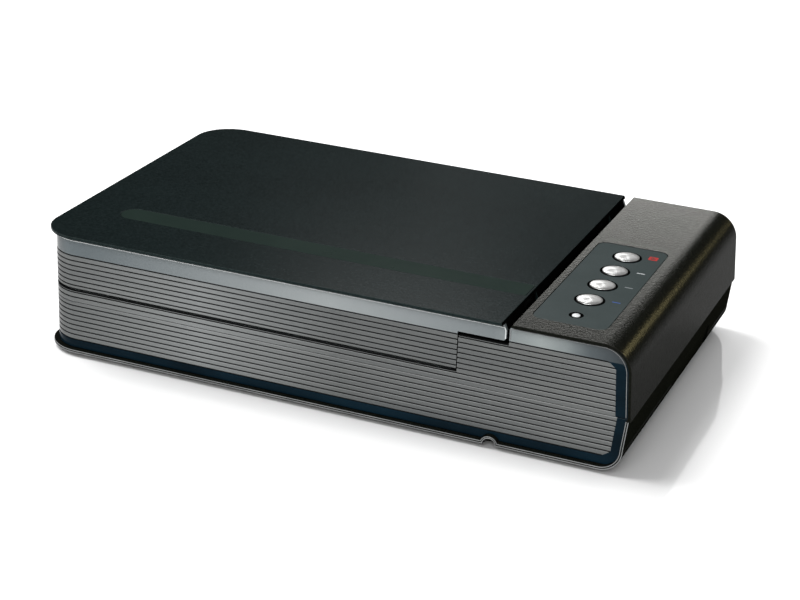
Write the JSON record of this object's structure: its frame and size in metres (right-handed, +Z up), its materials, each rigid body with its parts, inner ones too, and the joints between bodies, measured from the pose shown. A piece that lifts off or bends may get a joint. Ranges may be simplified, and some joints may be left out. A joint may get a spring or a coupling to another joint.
{
  "type": "flatbed scanner",
  "caption": "Book-edge flatbed scanner with a deep ribbed lid hinged at the control end, round metal push buttons and a belt-driven scanning carriage.",
  "frame": {"origin": "centre of the bounding box's bottom face, on the table under the case", "axes": "+X towards the control end, -Y the long book edge, +Z up"},
  "size_m": [0.453, 0.28, 0.0958],
  "materials": {
    "textured_black": "fine spark texture",
    "lid_black": "satin",
    "ribbed_grey": "semi-gloss",
    "inner_black": "matte",
    "inlay_black": "glossy",
    "overlay_grey": "smooth satin",
    "spun_aluminium": "spun",
    "steel": "plated",
    "brass": "satin",
    "glass": "clear",
    "mirror": "polished",
    "white_sheet": "matte",
    "foam": "open foam",
    "board_green": "solder mask",
    "pale_plastic": "moulded",
    "rubber": "matte",
    "lamp_white": "translucent",
    "cable_grey": "smooth"
  },
  "bodies": {
    "base": {"lower_case": "textured_black", "lower_wall": "ribbed_grey", "upper_wall": "ribbed_grey", "platen_deck": "inner_black", "platen_glass": "glass", "calibration_strip": "white_sheet", "control_cover": "textured_black", "panel_overlay": "overlay_grey", "led_lens": "lamp_white", "button_board": "board_green", "main_board": "board_green", "usb_port": "steel", "power_jack": "inner_black", "guide_rod": "steel", "slide_rail": "inner_black", "hinge_socket_front": "inner_black", "hinge_socket_rear": "inner_black", "drive_motor": "steel", "motor_plate": "steel", "idler_bracket": "steel", "idler_spring": "steel", "drive_belt": "rubber", "ribbon_cable": "cable_grey", "foot_front_left": "rubber", "foot_rear_left": "rubber", "foot_front_right": "rubber", "foot_rear_right": "rubber", "case_screw_1": "steel", "case_screw_2": "steel", "case_screw_3": "steel", "case_screw_4": "steel"},
    "hinge_carrier": {"hinge_post_front": "inner_black", "hinge_pin_front": "steel", "hinge_post_rear": "inner_black", "hinge_pin_rear": "steel"},
    "lid": {"hinge_bracket_front": "inner_black", "hinge_bracket_rear": "inner_black", "lid_cover": "lid_black", "lid_inlay": "inlay_black", "lid_skirt": "ribbed_grey", "lid_liner": "inner_black", "foam_pad": "foam", "pad_sheet": "white_sheet"},
    "carriage": {"carriage_body": "inner_black", "carriage_cover": "inner_black", "lamp_tube": "lamp_white", "fold_mirror": "mirror", "lens_barrel": "inner_black", "sensor_board": "board_green", "rod_bushing": "brass", "belt_clamp": "pale_plastic"},
    "button_1": {"button_1": "spun_aluminium"},
    "button_2": {"button_2": "spun_aluminium"},
    "button_3": {"button_3": "spun_aluminium"},
    "button_4": {"button_4": "spun_aluminium"},
    "power_rocker": {"power_rocker": "inner_black"},
    "transport_lock": {"transport_lock": "inner_black"},
    "drive_gear": {"drive_gear": "pale_plastic"},
    "motor_pinion": {"motor_pinion": "brass"},
    "idler_pulley": {"idler_pulley": "pale_plastic"}
  },
  "joints": [
    {"name": "hinge_lift", "type": "slide", "parent": "base", "child": "hinge_carrier", "axis": [0, 0, 1], "range_m": [0, 0.012]},
    {"name": "lid_hinge", "type": "hinge", "parent": "hinge_carrier", "child": "lid", "pos_m": [0.1282, 0, 0.0873], "axis": [0, 1, 0], "range_deg": [0, 95]},
    {"name": "carriage_travel", "type": "slide", "parent": "base", "child": "carriage", "axis": [-1, 0, 0], "range_m": [0, 0.3]},
    {"name": "drive_gear_spin", "type": "hinge", "parent": "base", "child": "drive_gear", "pos_m": [0.182, 0.116, 0.037], "axis": [0, 0, 1], "range_deg": [-2500, 0]},
    {"name": "idler_spin", "type": "hinge", "parent": "base", "child": "idler_pulley", "pos_m": [-0.195, 0.116, 0.04], "axis": [0, 0, 1], "range_deg": [-2500, 0]},
    {"name": "power_rocker_tilt", "type": "hinge", "parent": "base", "child": "power_rocker", "pos_m": [0.166, 0.1316, 0.064], "axis": [0, 0, 1], "range_deg": [-14, 0]},
    {"name": "transport_lock_slide", "type": "slide", "parent": "base", "child": "transport_lock", "axis": [1, 0, 0], "range_m": [0, 0.006]},
    {"name": "motor_spin", "type": "hinge", "parent": "base", "child": "motor_pinion", "pos_m": [0.19434, 0.10129, 0.03], "axis": [0, 0, 1], "range_deg": [0, 7500]},
    {"name": "button_1_press", "type": "slide", "parent": "base", "child": "button_1", "axis": [0, 0, -1], "range_m": [0, 0.0008], "stiffness_N_per_m": 600},
    {"name": "button_2_press", "type": "slide", "parent": "base", "child": "button_2", "axis": [0, 0, -1], "range_m": [0, 0.0008], "stiffness_N_per_m": 600},
    {"name": "button_3_press", "type": "slide", "parent": "base", "child": "button_3", "axis": [0, 0, -1], "range_m": [0, 0.0008], "stiffness_N_per_m": 600},
    {"name": "button_4_press", "type": "slide", "parent": "base", "child": "button_4", "axis": [0, 0, -1], "range_m": [0, 0.0008], "stiffness_N_per_m": 600}
  ],
  "couplings": [
    {"joint": "drive_gear_spin", "follows": "carriage_travel", "rad_per_m": -144.93},
    {"joint": "idler_spin", "follows": "carriage_travel", "rad_per_m": -144.93},
    {"joint": "motor_spin", "follows": "carriage_travel", "rad_per_m": 434.78}
  ]
}
